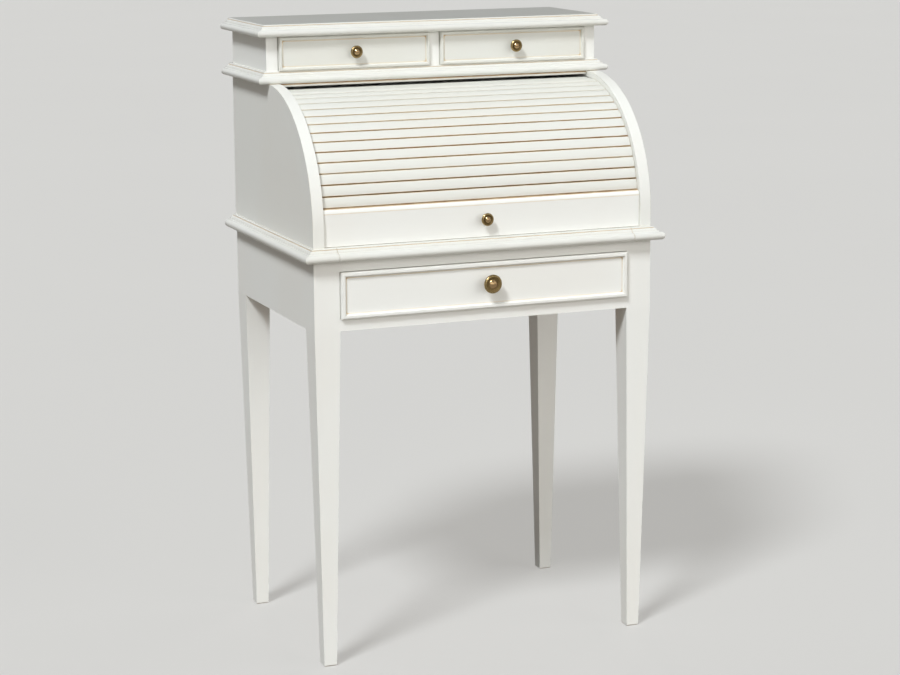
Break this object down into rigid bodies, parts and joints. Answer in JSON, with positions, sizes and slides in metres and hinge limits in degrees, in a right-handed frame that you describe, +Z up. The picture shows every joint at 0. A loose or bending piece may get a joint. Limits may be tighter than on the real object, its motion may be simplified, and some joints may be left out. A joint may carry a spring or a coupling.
{
  "type": "tambour desk",
  "caption": "Slim painted writing desk on tapered legs: a roll tambour over a pull-out writing slide, a wide drawer below and a gallery with small drawers above.",
  "frame": {"origin": "on the floor, under the middle of the desk's bounding box", "axes": "+X to the sitter's right, +Y to the back, +Z up"},
  "size_m": [0.67, 0.47, 1.0989],
  "materials": {
    "painted_wood": "ivory lacquer with tan glaze in the grooves, satin",
    "bare_wood": "plain sealed wood",
    "brass": "antique brass",
    "cloth": "woven cotton backing"
  },
  "bodies": {
    "desk": {"leg_front_left": "painted_wood", "leg_front_right": "painted_wood", "leg_back_left": "painted_wood", "leg_back_right": "painted_wood", "side_apron_left": "painted_wood", "side_apron_right": "painted_wood", "back_apron": "painted_wood", "drawer_rail_lower": "painted_wood", "drawer_rail_upper": "painted_wood", "drawer_runner_left": "bare_wood", "drawer_runner_right": "bare_wood", "desk_top_end_left": "painted_wood", "desk_top_end_right": "painted_wood", "desk_top_back": "painted_wood", "case_side_left": "painted_wood", "case_side_right": "painted_wood", "case_back": "painted_wood", "case_inner_back": "bare_wood", "case_fascia": "painted_wood", "cornice_board": "painted_wood", "gallery_end_left": "painted_wood", "gallery_end_right": "painted_wood", "gallery_divider": "painted_wood", "gallery_back": "painted_wood", "top_board": "painted_wood"},
    "tambour": {"tambour_lead_rail": "painted_wood", "tambour_knob": "brass", "tambour_slats_1": "painted_wood", "tambour_slats_2": "painted_wood", "tambour_cloth_1": "cloth"},
    "tambour_b": {"tambour_slats_3": "painted_wood", "tambour_slats_4": "painted_wood", "tambour_cloth_2": "cloth"},
    "tambour_c": {"tambour_slats_5": "painted_wood", "tambour_slats_6": "painted_wood", "tambour_cloth_3": "cloth"},
    "tambour_d": {"tambour_slats_7": "painted_wood", "tambour_slats_8": "painted_wood", "tambour_cloth_4": "cloth"},
    "writing_slide": {"writing_slide": "painted_wood"},
    "main_drawer": {"main_drawer_front": "painted_wood", "main_drawer_side_left": "bare_wood", "main_drawer_side_right": "bare_wood", "main_drawer_back": "bare_wood", "main_drawer_bottom": "bare_wood", "main_drawer_knob": "brass"},
    "gallery_drawer_left": {"gallery_drawer_left_front": "painted_wood", "gallery_drawer_left_side_left": "bare_wood", "gallery_drawer_left_side_right": "bare_wood", "gallery_drawer_left_back": "bare_wood", "gallery_drawer_left_bottom": "bare_wood", "gallery_drawer_left_knob": "brass"},
    "gallery_drawer_right": {"gallery_drawer_right_front": "painted_wood", "gallery_drawer_right_side_left": "bare_wood", "gallery_drawer_right_side_right": "bare_wood", "gallery_drawer_right_back": "bare_wood", "gallery_drawer_right_bottom": "bare_wood", "gallery_drawer_right_knob": "brass"}
  },
  "joints": [
    {"name": "tambour_roll", "type": "hinge", "parent": "desk", "child": "tambour", "pos_m": [0, 0.018, 0.7655], "axis": [-1, 0, 0], "range_deg": [0, 76]},
    {"name": "tambour_turn_b", "type": "hinge", "parent": "desk", "child": "tambour_b", "pos_m": [0, 0.01445, 0.77331], "axis": [-1, 0, 0], "range_deg": [0, 78.94]},
    {"name": "tambour_turn_c", "type": "hinge", "parent": "desk", "child": "tambour_c", "pos_m": [0, 0.01449, 0.77946], "axis": [-1, 0, 0], "range_deg": [0, 81.17]},
    {"name": "tambour_turn_d", "type": "hinge", "parent": "desk", "child": "tambour_d", "pos_m": [0, 0.01672, 0.78486], "axis": [-1, 0, 0], "range_deg": [0, 83.4]},
    {"name": "writing_slide_pull", "type": "slide", "parent": "desk", "child": "writing_slide", "axis": [0, -1, 0], "range_m": [0, 0.18]},
    {"name": "main_drawer_pull", "type": "slide", "parent": "desk", "child": "main_drawer", "axis": [0, -1, 0], "range_m": [0, 0.3]},
    {"name": "gallery_drawer_left_pull", "type": "slide", "parent": "desk", "child": "gallery_drawer_left", "axis": [0, -1, 0], "range_m": [0, 0.13]},
    {"name": "gallery_drawer_right_pull", "type": "slide", "parent": "desk", "child": "gallery_drawer_right", "axis": [0, -1, 0], "range_m": [0, 0.13]}
  ],
  "couplings": [
    {"joint": "tambour_turn_b", "follows": "tambour_roll", "ratio": 1.0386},
    {"joint": "tambour_turn_c", "follows": "tambour_roll", "ratio": 1.0679},
    {"joint": "tambour_turn_d", "follows": "tambour_roll", "ratio": 1.0972}
  ]
}
